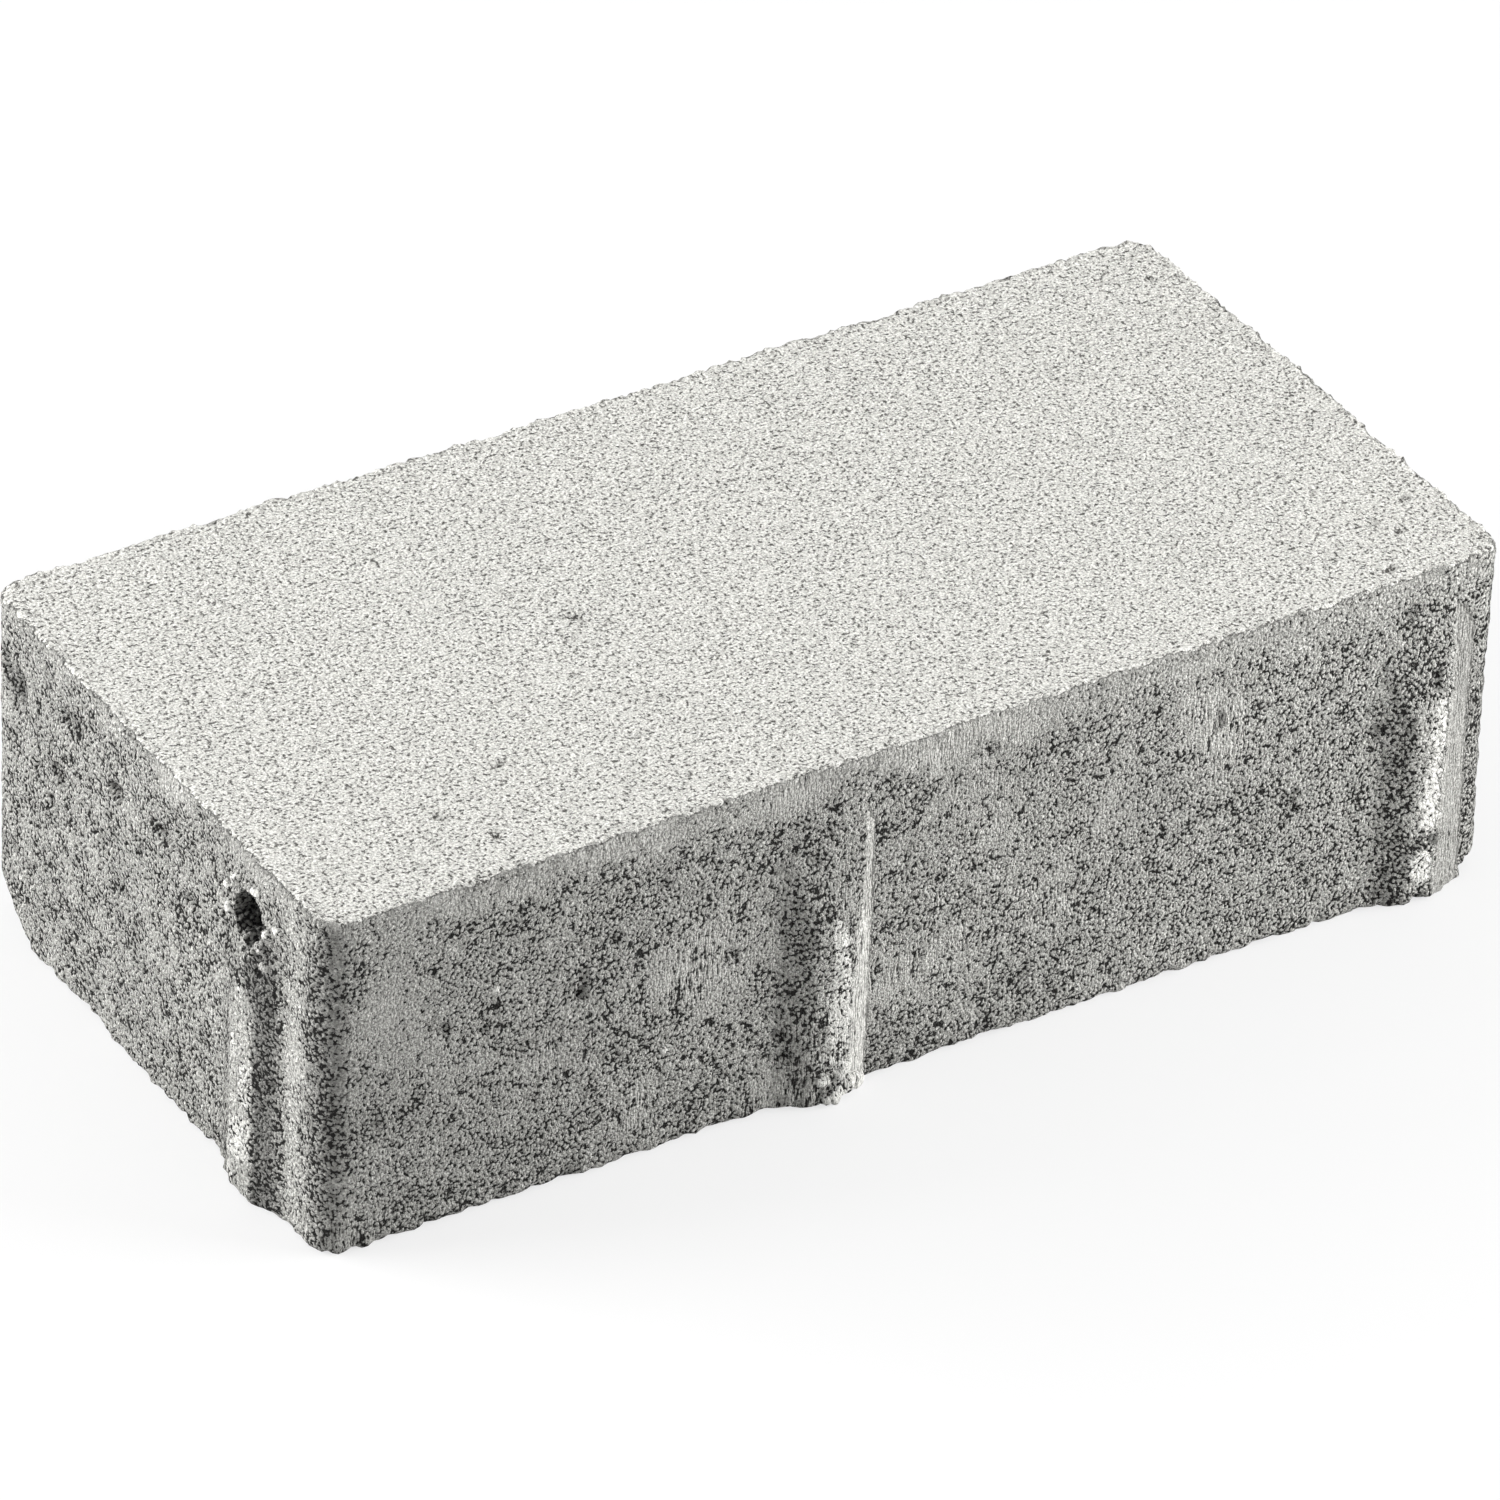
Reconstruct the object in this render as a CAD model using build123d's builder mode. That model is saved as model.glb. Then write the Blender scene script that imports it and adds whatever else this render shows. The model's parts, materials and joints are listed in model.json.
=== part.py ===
from build123d import *
import os

# A rectangular concrete paving stone with six spacer lugs, cast in one piece.
#
# Millimetres, +Z up. The stone lies as it is laid. Its origin is on the underside, midway along
# its length and across its width, with the length along X. Each long side has two lugs and each
# short side one, set towards the right-hand end as that side is seen from outside, so a half
# turn about the vertical axis brings the stone back onto itself.

# Laying pattern: the stone fills two square modules, less one joint
module_size = 105
modules_along = 2
joint_width = 3

# Block
block_height = 60
corner_radius = 4.8
top_arris_radius = 0.7
foot_arris_radius = 1.2

# Spacer lugs: a rib with sloping flanks and a flat face. Its foot on the block's side and its
# face both end in a round head, the face's lower down, so the head slopes up into the side.
lug_projection = 2.5
lug_root_depth = 0.3
lug_face_width = 5.4
lug_face_straight_height = 32
lug_foot_straight_height = 46.5
side_lug_foot_width = 16.4
end_lug_foot_width = 18.8

# Places of the lugs: the gap is from the foot to where the block's corner starts to round
lugs_on_long_side = 2
side_lug_spacing = 108
side_lug_gap_to_corner = 0.3
end_lug_gap_to_corner = 6.8

# Blowhole: a bubble of air left open at the head of the lug on the left-hand end
blowhole_radius = 3.6
blowhole_centre_inside = 1.2
blowhole_below_top = 10
blowhole_from_lug_middle = 1

# Corner that broke off the foot at the far left, measured along its three edges
break_along_length = 9
break_along_width = 13
break_up_height = 13.5

block_length = modules_along * module_size - joint_width
block_width = module_size - joint_width


def spacer_lug(foot_width):
    """A lug with its middle on the Y axis, its foot on the XZ plane and its face towards +Y.

    The flanks and the head run on into the block as deep as the root, so that the lug also
    meets a side that curves away.
    """
    root_share = lug_root_depth / lug_projection
    root_width = foot_width + (foot_width - lug_face_width) * root_share
    root_height = (
        lug_foot_straight_height + (lug_foot_straight_height - lug_face_straight_height) * root_share
    )
    outlines = [
        (-lug_root_depth, root_width / 2, root_height),
        (lug_projection, lug_face_width / 2, lug_face_straight_height),
    ]
    with BuildPart() as lug:
        for out, half_width, straight_height in outlines:
            with BuildSketch(Plane.XZ.offset(-out)):
                with BuildLine():
                    Line((-half_width, 0), (half_width, 0))
                    Line((half_width, 0), (half_width, straight_height))
                    ThreePointArc(
                        (half_width, straight_height),
                        (0, straight_height + half_width),
                        (-half_width, straight_height),
                    )
                    Line((-half_width, straight_height), (-half_width, 0))
                make_face()
        loft(ruled=True)
    return lug.part


side_lug = spacer_lug(side_lug_foot_width)
end_lug = spacer_lug(end_lug_foot_width)

# Lugs on the far long side and the left-hand short side, the half turn gives the other two sides
last_lug_x = block_length / 2 - corner_radius - side_lug_gap_to_corner - side_lug_foot_width / 2
end_lug_y = block_width / 2 - corner_radius - end_lug_gap_to_corner - end_lug_foot_width / 2
side_places = [
    Location((n * side_lug_spacing - last_lug_x, block_width / 2, 0)) for n in range(lugs_on_long_side)
]
end_place = Location((-block_length / 2, -end_lug_y, 0), (0, 0, 90))

blowhole_place = (
    -block_length / 2 + blowhole_centre_inside,
    -end_lug_y + blowhole_from_lug_middle,
    block_height - blowhole_below_top,
)
break_plane = Plane(
    origin=(-block_length / 2, block_width / 2, break_up_height),
    z_dir=(-1 / break_along_length, 1 / break_along_width, -1 / break_up_height),
)

with BuildPart() as paving_stone:
    with BuildSketch(Plane.XY):
        RectangleRounded(block_length, block_width, corner_radius)
    extrude(amount=block_height)
    fillet(paving_stone.faces().sort_by(Axis.Z)[-1].edges(), top_arris_radius)
    with PolarLocations(0, 2):
        with Locations(*side_places):
            add(side_lug)
        with Locations(end_place):
            add(end_lug)
    fillet(paving_stone.faces().sort_by(Axis.Z)[0].edges(), foot_arris_radius)
    split(bisect_by=break_plane, keep=Keep.BOTTOM)
    with Locations(blowhole_place):
        Sphere(blowhole_radius, mode=Mode.SUBTRACT)

paving_stone.part.label = "paving_stone"

os.makedirs("parts", exist_ok=True)
export_step(paving_stone.part, "parts/paving_stone.step")
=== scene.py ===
"""The looks of a concrete paving stone: its rough cast skin, its finish, and the studio that shows it.

Lengths are written in millimetres and turned to metres by MM. The stone's own sizes come from the
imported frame: its box gives the block and the mounts on its sides give the spacer lugs.
"""

import json
import logging
import math
from bisect import bisect_left
from dataclasses import dataclass, field
from enum import Enum, IntEnum
from typing import Any, Optional

import bmesh
import bpy
from mathutils import Matrix, Vector, kdtree, noise

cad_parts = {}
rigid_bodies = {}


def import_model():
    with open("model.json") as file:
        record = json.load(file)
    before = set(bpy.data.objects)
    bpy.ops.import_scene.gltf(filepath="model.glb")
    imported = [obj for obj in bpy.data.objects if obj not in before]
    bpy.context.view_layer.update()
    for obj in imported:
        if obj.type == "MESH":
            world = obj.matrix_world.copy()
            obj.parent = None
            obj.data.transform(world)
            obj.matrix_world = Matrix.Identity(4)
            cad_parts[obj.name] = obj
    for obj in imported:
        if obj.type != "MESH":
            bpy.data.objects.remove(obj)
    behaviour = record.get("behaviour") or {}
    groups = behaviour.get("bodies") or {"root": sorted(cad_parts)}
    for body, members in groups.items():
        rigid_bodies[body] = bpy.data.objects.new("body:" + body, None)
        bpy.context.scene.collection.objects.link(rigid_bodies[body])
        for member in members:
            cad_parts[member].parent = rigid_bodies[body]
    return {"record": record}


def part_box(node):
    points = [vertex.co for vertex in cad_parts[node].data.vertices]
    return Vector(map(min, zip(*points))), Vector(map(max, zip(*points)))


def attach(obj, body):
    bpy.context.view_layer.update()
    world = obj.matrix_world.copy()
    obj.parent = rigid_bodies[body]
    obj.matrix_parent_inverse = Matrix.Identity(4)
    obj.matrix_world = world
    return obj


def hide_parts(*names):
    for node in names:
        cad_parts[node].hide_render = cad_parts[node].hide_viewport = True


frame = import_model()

Tree = bpy.types.NodeTree
Source = bpy.types.Node | bpy.types.NodeSocket
BMesh = bmesh.types.BMesh
Face = bmesh.types.BMFace

MM = 0.001
NODE = "paving_stone"
BODY = "root"
PHOTO_SIDE_PX = 1500
SENSOR_WIDTH_MM = 36.0
WHITE = (1.0, 1.0, 1.0, 1.0)
MASKS = ("top", "torn", "drag", "rubbed", "tone")

log = logging.getLogger("paving_stone")


class Axis(IntEnum):
    """A direction of the frame, by its place in a vector."""

    X = 0
    Y = 1
    Z = 2

    @property
    def unit(self) -> Vector:
        """The unit vector along this direction."""
        return Vector(1.0 if place == self else 0.0 for place in range(3))


def linear(hex_colour: str) -> tuple[float, float, float, float]:
    """Turns an sRGB hex colour to linear light.

    Args:
        hex_colour: Six hex digits, with or without a leading hash.

    Returns:
        Red, green, blue and an alpha of 1.
    """
    digits = hex_colour.lstrip("#")
    channels = [int(digits[start:start + 2], 16) / 255 for start in (0, 2, 4)]
    red, green, blue = (c / 12.92 if c <= 0.04045 else ((c + 0.055) / 1.055) ** 2.4 for c in channels)
    return red, green, blue, 1.0


def smooth_step(low: float, high: float, value: float) -> float:
    """Rises smoothly from 0 at low to 1 at high.

    Args:
        low: Where the rise starts.
        high: Where it ends, which may be below low for a fall.
        value: Where it is read.

    Returns:
        A number from 0 to 1.
    """
    share = min(max((value - low) / (high - low), 0.0), 1.0)
    return share * share * (3 - 2 * share)


def add_node(
    tree: Tree, kind: str, settings: Optional[dict] = None, links: Optional[dict[Any, Source]] = None
) -> bpy.types.Node:
    """Adds a shader node with its settings and links.

    Args:
        tree: The node tree.
        kind: The node's type name, without the ShaderNode that they all start with.
        settings: Properties by name, and input values by socket name or number.
        links: What feeds this node's inputs, by name or number: a socket, or a node's first output.

    Returns:
        The new node.
    """
    node = tree.nodes.new("ShaderNode" + kind)
    settings = settings or {}
    for name, value in settings.items():
        if isinstance(name, str) and name not in node.inputs:
            setattr(node, name, value)
    for name, value in settings.items():
        if not isinstance(name, str) or name in node.inputs:
            node.inputs[name].default_value = value
    for name, source in (links or {}).items():
        socket = source.outputs[0] if isinstance(source, bpy.types.Node) else source
        tree.links.new(socket, node.inputs[name])
    return node


def empty_tree(owner: bpy.types.Material | bpy.types.World) -> Tree:
    """Gives a material or a world a node tree with nothing in it."""
    owner.use_nodes = True
    owner.node_tree.nodes.clear()
    return owner.node_tree


def finished_mesh(name: str, bm: BMesh) -> bpy.types.Mesh:
    """Turns an edit mesh into a mesh and frees it."""
    mesh = bpy.data.meshes.new(name)
    bm.to_mesh(mesh)
    bm.free()
    return mesh


def placed(name: str, data: bpy.types.ID) -> bpy.types.Object:
    """Makes an object and puts it in the scene."""
    made = bpy.data.objects.new(name, data)
    bpy.context.scene.collection.objects.link(made)
    return made


@dataclass(frozen=True)
class PressedSkin:
    """How the steel pressed a grainy relief into a skin with crevices.

    Attributes:
        closed: The skin's level where it is closed, in the relief's own range.
        torn: Its level where it is torn open.
        flat: How far above its level the relief is pressed flat.
        grit: How far the sand on it stands out.
        depth: The depth of the whole relief in millimetres.
        slope: How far below its level the painted shade of a crevice is fully dark.
        softness: How softly the flat part runs on into the rest.
    """

    closed: float
    torn: float
    flat: float
    grit: float
    depth: float
    slope: float = 0.11
    softness: float = 0.06


@dataclass(frozen=True)
class DryCastConcrete:
    """Concrete pressed almost dry into a steel mould.

    The mould is lifted off at once, so nothing is glazed. The eye sees a dull grey skin of cement
    and fine sand that is closed on top, and on the sides is torn open into crevices about a
    millimetre apart, whose shade is painted dark into the colour. Where the steel dragged over a side, skin
    and crevices run upright. Where a side rubbed against another stone, the grains are crushed to a whitish
    dust. The finest sand,
    0.1 to 0.2 mm, would not show in the render and is drawn at 0.38 mm.

    Widths and spacings are in millimetres.
    """

    top_paste: str = "#F4F3EE"
    top_dark_sand: str = "#A9A8A3"
    # The colour of the shade painted into the pits of the top.
    top_pore_shade: str = "#5E5D59"
    side_paste: str = "#E6E5E0"
    side_dark_sand: str = "#A3A29D"
    # The colour of the shade painted into the crevices of the sides.
    side_pore_shade: str = "#2B2A28"
    # Pale grains of sand; the same colour also stands in as painted highlights on the grains.
    pale_grain_and_highlight: str = "#EFEEE9"
    rubbed_dust: str = "#E3E2DD"
    top_skin: PressedSkin = PressedSkin(closed=0.47, torn=0.57, flat=0.04, grit=0.22, depth=1.4)
    side_skin: PressedSkin = PressedSkin(closed=0.34, torn=0.55, flat=0.2, grit=0.2, depth=4.4)
    top_edge: float = 0.16
    rubbed_edge: float = 0.3
    top_grain: float = 0.605
    side_grain: float = 0.5
    packed_grain: float = 0.65
    grain_share: float = 0.2
    drag_width: float = 0.46
    drag_stretch: float = 0.16
    sand: float = 0.38
    crumb: float = 1.1
    crumb_share: float = 1.4
    flake: float = 2.3
    flake_contrast: float = 2.2
    flake_offset: float = -0.12
    highlight_grain_spacing: float = 2.4
    highlight_grain_share: float = 0.75
    smoothed_relief: float = 0.5
    roughness: float = 0.95
    gloss: float = 0.2

    def material(self) -> bpy.types.Material:
        """Builds the material.

        Returns:
            The finished material.
        """
        made = bpy.data.materials.new("dry_cast_concrete")
        tree = empty_tree(made)
        place = add_node(tree, "TexCoord").outputs["Object"]
        mask = {
            name: add_node(tree, "Attribute", {"attribute_name": name}).outputs["Fac"] for name in MASKS
        }
        pattern = self.patterns(tree, place)
        top = self.crisp(tree, mask["top"], pattern["crumbs"], self.top_edge)
        rubbed = self.crisp(tree, mask["rubbed"], pattern["crumbs"], self.rubbed_edge)
        swing = (self.grain_share, -self.grain_share)
        domes = self.grains(tree, place, self.packed_grain, (0.1, 0.9), swing)
        packed = add_node(tree, "Math", {"operation": "ADD"}, {0: pattern["side grain"], 1: domes})
        side_relief = add_node(
            tree, "Mix", {"data_type": "FLOAT"}, {0: mask["drag"], 2: packed, 3: pattern["dragged grain"]}
        )
        flakes = {"operation": "MULTIPLY_ADD", 1: self.flake_contrast, 2: self.flake_offset}
        flaky = add_node(tree, "Math", flakes, {0: pattern["flakes"]})
        open_side = add_node(tree, "Math", {"operation": "MULTIPLY"}, {0: mask["torn"], 1: flaky})
        shaded_side_pores, side_height = self.torn_skin(
            tree, side_relief, open_side, pattern["sand"], self.side_skin
        )
        shaded_top_pores, top_height = self.torn_skin(
            tree, pattern["top grain"], mask["torn"], pattern["sand"], self.top_skin
        )

        sand = add_node(tree, "MapRange", {"From Min": 0.36, "From Max": 0.64}, {"Value": pattern["sand"]})
        # The pore layers paint the shade inside the crevices as a dark colour.
        top_colour = self.layered(
            tree, self.top_dark_sand, ((sand, self.top_paste), (shaded_top_pores, self.top_pore_shade))
        )
        side_colour = self.layered(
            tree,
            self.side_dark_sand,
            ((sand, self.side_paste), (rubbed, self.rubbed_dust), (shaded_side_pores, self.side_pore_shade)),
        )
        colour = add_node(tree, "Mix", {"data_type": "RGBA"}, {0: top, 6: side_colour, 7: top_colour})
        # A few pale grains, partly real sand and partly painted highlights.
        pale_grains_and_highlights = self.grains(tree, place, self.highlight_grain_spacing, (0.13, 0.09), (0.0, self.highlight_grain_share))
        white_sand_and_highlight = {"data_type": "RGBA", 7: linear(self.pale_grain_and_highlight)}
        colour = add_node(tree, "Mix", white_sand_and_highlight, {0: pale_grains_and_highlights, 6: colour.outputs[2]})
        # The tone mask also darkens the pits, the blowhole and one lug flank: painted shade.
        toned = {"data_type": "RGBA", "blend_type": "MULTIPLY", 0: 1.0}
        colour = add_node(tree, "Mix", toned, {6: colour.outputs[2], 7: mask["tone"]})

        smoothed = add_node(tree, "Math", {"operation": "MAXIMUM"}, {0: rubbed, 1: mask["drag"]})
        left_rough = add_node(
            tree, "MapRange", {"To Min": 1.0, "To Max": self.smoothed_relief}, {"Value": smoothed}
        )
        side_height = add_node(tree, "Math", {"operation": "MULTIPLY"}, {0: side_height, 1: left_rough})
        height = add_node(tree, "Mix", {"data_type": "FLOAT"}, {0: top, 2: side_height, 3: top_height})
        normal = add_node(tree, "Bump", {"Strength": 1.0, "Distance": MM}, {"Height": height})
        shader = add_node(
            tree,
            "BsdfPrincipled",
            {"Roughness": self.roughness, "IOR": 1.5, "Specular IOR Level": self.gloss},
            {"Base Color": colour.outputs[2], "Normal": normal},
        )
        add_node(tree, "OutputMaterial", links={"Surface": shader})
        return made

    def patterns(self, tree: Tree, place: Source) -> dict[str, Source]:
        """Lays out the uneven patterns of the skin, some of them drawn out upright by the mould.

        Args:
            tree: The node tree.
            place: The object coordinates.

        Returns:
            Numbers around one half, by name.
        """
        stretch = {"operation": "MULTIPLY", 1: (1.0, 1.0, self.drag_stretch)}
        upright = add_node(tree, "VectorMath", stretch, {0: place})
        made = {}
        for name, vector, width, detail in (
            ("sand", place, self.sand, 2.0),
            ("crumbs", place, self.crumb, 2.0),
            ("flakes", place, self.flake, 2.0),
            ("top grain", place, self.top_grain, 3.0),
            ("side grain", place, self.side_grain, 3.0),
            ("dragged grain", upright, self.drag_width, 2.0),
        ):
            settings = {"Scale": 1 / (width * MM), "Detail": detail, "Roughness": 0.62}
            made[name] = add_node(tree, "TexNoise", settings, {"Vector": vector})
        return made

    def grains(
        self,
        tree: Tree,
        place: Source,
        spacing: float,
        reach: tuple[float, float],
        share: tuple[float, float],
    ) -> Source:
        """Lays out round grains with gaps between them.

        Args:
            tree: The node tree.
            place: The object coordinates.
            spacing: How far apart the grains are, in millimetres.
            reach: Two distances from a grain's middle, as shares of the spacing.
            share: What the pattern says at those distances, and it changes evenly between them.

        Returns:
            The pattern.
        """
        cells = add_node(tree, "TexVoronoi", {"Scale": 1 / (spacing * MM)}, {"Vector": place})
        fade = {"From Min": reach[0], "From Max": reach[1], "To Min": share[0], "To Max": share[1]}
        return add_node(tree, "MapRange", fade, {"Value": cells})

    def crisp(self, tree: Tree, share: Source, crumbs: Source, edge: float) -> Source:
        """Gives a mask a crumbly edge that is sharper than the mesh.

        Args:
            tree: The node tree.
            share: The mask.
            crumbs: The pattern of the crumbs.
            edge: How much of the mask's range its edge takes up, to each side.

        Returns:
            The mask.
        """
        middle = 0.5 + 0.5 * self.crumb_share
        crumbly = {"operation": "MULTIPLY_ADD", 1: self.crumb_share}
        uneven = add_node(tree, "Math", crumbly, {0: crumbs, 2: share})
        return add_node(
            tree,
            "MapRange",
            {"interpolation_type": "SMOOTHSTEP", "From Min": middle - edge, "From Max": middle + edge},
            {"Value": uneven},
        )

    def torn_skin(
        self, tree: Tree, relief: Source, torn: Source, sand: Source, skin: PressedSkin
    ) -> tuple[Source, Source]:
        """Presses a relief flat above the level of the skin, and leaves crevices below it.

        Args:
            tree: The node tree.
            relief: The relief.
            torn: How torn open the skin is.
            sand: The pattern of the sand that lies on the skin.
            skin: The kind of skin.

        Returns:
            A share that is 1 in a crevice, where its shade is painted dark, and the height in millimetres.
        """
        level = add_node(tree, "MapRange", {"To Min": skin.closed, "To Max": skin.torn}, {"Value": torn})
        below = add_node(tree, "Math", {"operation": "SUBTRACT"}, {0: level, 1: relief})
        shaded_pores = add_node(
            tree,
            "MapRange",
            {"interpolation_type": "SMOOTHSTEP", "From Min": 0.0, "From Max": skin.slope},
            {"Value": below},
        )
        plateau = add_node(tree, "Math", {"operation": "ADD", 1: skin.flat}, {0: level})
        pressed = add_node(
            tree, "Math", {"operation": "SMOOTH_MIN", 2: skin.softness}, {0: relief, 1: plateau}
        )
        height = add_node(tree, "Math", {"operation": "MULTIPLY_ADD", 1: skin.grit}, {0: sand, 2: pressed})
        return shaded_pores, add_node(tree, "Math", {"operation": "MULTIPLY", 1: skin.depth}, {0: height})

    def layered(self, tree: Tree, ground: str, layers: tuple[tuple[Source, str], ...]) -> Source:
        """Lays colours over one another.

        Args:
            tree: The node tree.
            ground: The hex colour underneath.
            layers: The share and the hex colour of each layer, from the lowest.

        Returns:
            The colour.
        """
        settings, links = {6: linear(ground)}, {}
        for share, hex_colour in layers:
            settings |= {"data_type": "RGBA", 7: linear(hex_colour)}
            colour = add_node(tree, "Mix", settings, {0: share, **links}).outputs[2]
            settings, links = {}, {6: colour}
        return colour


class Wear(Enum):
    """What handling has done to the face of a lug."""

    RUBBED = "rubbed to a whitish dust in patches"
    CRUMBLED = "skin broken away down to the grains"
    MARKED = "rubbed only where its own marks say so"


WEAR_BY_MOUNT = {"lug_face_front_mid": Wear.CRUMBLED, "lug_face_front_end": Wear.MARKED}


@dataclass(frozen=True)
class Lug:
    """One spacer lug, a rib with sloping flanks and a round, sloping head.

    Attributes:
        side: The axis that the lug stands out along.
        sign: Which way along that axis.
        middle: Its place along the side, in metres.
        foot_width: How wide it is where it meets the side.
        wear: What has happened to its face.
    """

    side: Axis
    sign: float
    middle: float
    foot_width: float
    wear: Wear
    projection: float = 2.5 * MM
    face_width: float = 5.4 * MM
    face_straight_height: float = 32.0 * MM
    foot_straight_height: float = 46.5 * MM
    halvings: int = 12

    @property
    def run(self) -> Axis:
        """The axis along the side that carries the lug."""
        return Axis.Y if self.side is Axis.X else Axis.X

    @property
    def rightward(self) -> float:
        """Which way along the run is right, for someone who faces the side."""
        return self.sign if self.side is Axis.X else -self.sign

    def holds(self, share: float, offset: float, level: float) -> bool:
        """Tells whether the lug's outline reaches a point of the side.

        Args:
            share: How far out the outline is, 0 at the foot and 1 at the face.
            offset: The point's distance from the lug's middle.
            level: The point's height.

        Returns:
            True if the outline holds the point.
        """
        half_width = (self.foot_width + (self.face_width - self.foot_width) * share) / 2
        shoulder = self.foot_straight_height
        shoulder += (self.face_straight_height - self.foot_straight_height) * share
        return math.hypot(offset, max(0.0, level - shoulder)) <= half_width

    def rise(self, along: float, level: float) -> float:
        """Works out how far the lug stands out at a point of the side.

        Args:
            along: The point's place along the side.
            level: The point's height.

        Returns:
            The distance in metres.
        """
        offset = abs(along - self.middle)
        if not self.holds(0.0, offset, level):
            return 0.0
        if self.holds(1.0, offset, level):
            return self.projection
        low, high = 0.0, 1.0
        for _ in range(self.halvings):
            share = (low + high) / 2
            if self.holds(share, offset, level):
                low = share
            else:
                high = share
        return low * self.projection


@dataclass
class StoneBody:
    """The cast block with its rounded corners and arrises, broken corner and lugs, as one closed mesh."""

    side_lug_foot_width: float = 16.4 * MM
    end_lug_foot_width: float = 18.8 * MM
    corner_radius: float = 4.8 * MM
    corner_segments: int = 8
    top_arris: float = 0.7 * MM
    top_arris_segments: int = 2
    foot_arris: float = 1.2 * MM
    foot_arris_segments: int = 3
    break_along_length: float = 9.0 * MM
    break_along_width: float = 13.0 * MM
    break_up_height: float = 13.5 * MM
    side_pitch: float = 0.74 * MM
    top_pitch: float = 1.3 * MM
    underside_pitch: float = 8.0 * MM
    rim_width: float = 0.8 * MM
    weld: float = 0.002 * MM
    lugs: list[Lug] = field(default_factory=list)
    half: Vector = field(default_factory=Vector)
    height: float = 0.0

    def read_frame(self) -> None:
        """Takes the block's size from its box and the lugs from the mounts on its sides."""
        low, high = (Vector(corner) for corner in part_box(NODE))
        self.height = high.z - low.z
        self.half = Vector((high.x - Lug.projection, high.y - Lug.projection, 0.0))
        for mount in frame["record"]["mounts"]:
            if not mount["name"].startswith("lug_face"):
                continue
            side = Axis.X if abs(mount["axis"][0]) > 0.5 else Axis.Y
            self.lugs.append(
                Lug(
                    side=side,
                    sign=math.copysign(1.0, mount["axis"][side]),
                    middle=mount["pos_m"][1 if side is Axis.X else 0],
                    foot_width=self.end_lug_foot_width if side is Axis.X else self.side_lug_foot_width,
                    wear=WEAR_BY_MOUNT.get(mount["name"], Wear.RUBBED),
                )
            )

    def build(self, fine_places: list[list[tuple[Vector, float]]]) -> BMesh:
        """Models the body and meshes it finely enough for its relief.

        Args:
            fine_places: Rounds of places and radii, in millimetres, that each halve the mesh there.

        Returns:
            The mesh, in metres, in the frame.
        """
        bm = bmesh.new()
        bmesh.ops.create_cube(bm, size=1.0)
        bmesh.ops.scale(bm, vec=(2 * self.half.x, 2 * self.half.y, self.height), verts=bm.verts)
        bmesh.ops.translate(bm, vec=(0, 0, self.height / 2), verts=bm.verts)
        self.round_corners(bm)
        self.round_arrises(bm)
        self.divide_sides(bm)
        self.cap(bm, self.height, self.top_pitch)
        self.cap(bm, 0.0, self.underside_pitch)
        bmesh.ops.remove_doubles(bm, verts=bm.verts, dist=self.weld)
        self.break_corner(bm)
        for places in fine_places:
            self.refine(bm, places)
        self.raise_lugs(bm)
        bmesh.ops.remove_doubles(bm, verts=bm.verts, dist=self.weld)
        bmesh.ops.recalc_face_normals(bm, faces=bm.faces)
        return bm

    def round_corners(self, bm: BMesh) -> None:
        """Rounds the four upright corners."""
        upright = [e for e in bm.edges if abs(e.verts[0].co.z - e.verts[1].co.z) > self.height / 2]
        self.bevel(bm, upright, self.corner_radius, self.corner_segments)

    def round_arrises(self, bm: BMesh) -> None:
        """Rounds the edges round the top and round the foot.

        Args:
            bm: The mesh.
        """
        bm.normal_update()
        for level, radius, segments in (
            (self.height, self.top_arris, self.top_arris_segments),
            (0.0, self.foot_arris, self.foot_arris_segments),
        ):
            rim = [
                e
                for e in bm.edges
                if all(abs(v.co.z - level) < self.weld for v in e.verts)
                and min(abs(f.normal.z) for f in e.link_faces) < 0.5
            ]
            self.bevel(bm, rim, radius, segments)

    def bevel(self, bm: BMesh, edges: list[bmesh.types.BMEdge], offset: float, segments: int) -> None:
        """Rounds a set of edges.

        Args:
            bm: The mesh.
            edges: The edges.
            offset: How far from the edge the round starts.
            segments: How many flats make up the round.
        """
        bmesh.ops.bevel(
            bm,
            geom=edges,
            offset=offset,
            offset_type="OFFSET",
            segments=segments,
            profile=0.5,
            affect="EDGES",
            clamp_overlap=True,
            material=-1,
        )

    def divide_sides(self, bm: BMesh) -> None:
        """Takes off the top and the underside and meshes the sides between them.

        Args:
            bm: The mesh.
        """
        bm.normal_update()
        ends = [face for face in bm.faces if abs(face.normal.z) > 0.999]
        bmesh.ops.delete(bm, geom=ends, context="FACES_ONLY")
        for axis in (Axis.Z, Axis.X, Axis.Y):
            runs: dict[int, list[bmesh.types.BMEdge]] = {}
            for edge in bm.edges:
                length = edge.calc_length()
                span = abs(edge.verts[0].co[axis] - edge.verts[1].co[axis])
                steps = math.ceil(length / self.side_pitch - 0.01)
                if steps > 1 and span > 0.999 * length:
                    runs.setdefault(steps, []).append(edge)
            for steps, edges in runs.items():
                bmesh.ops.subdivide_edges(bm, edges=edges, cuts=steps - 1)

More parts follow.
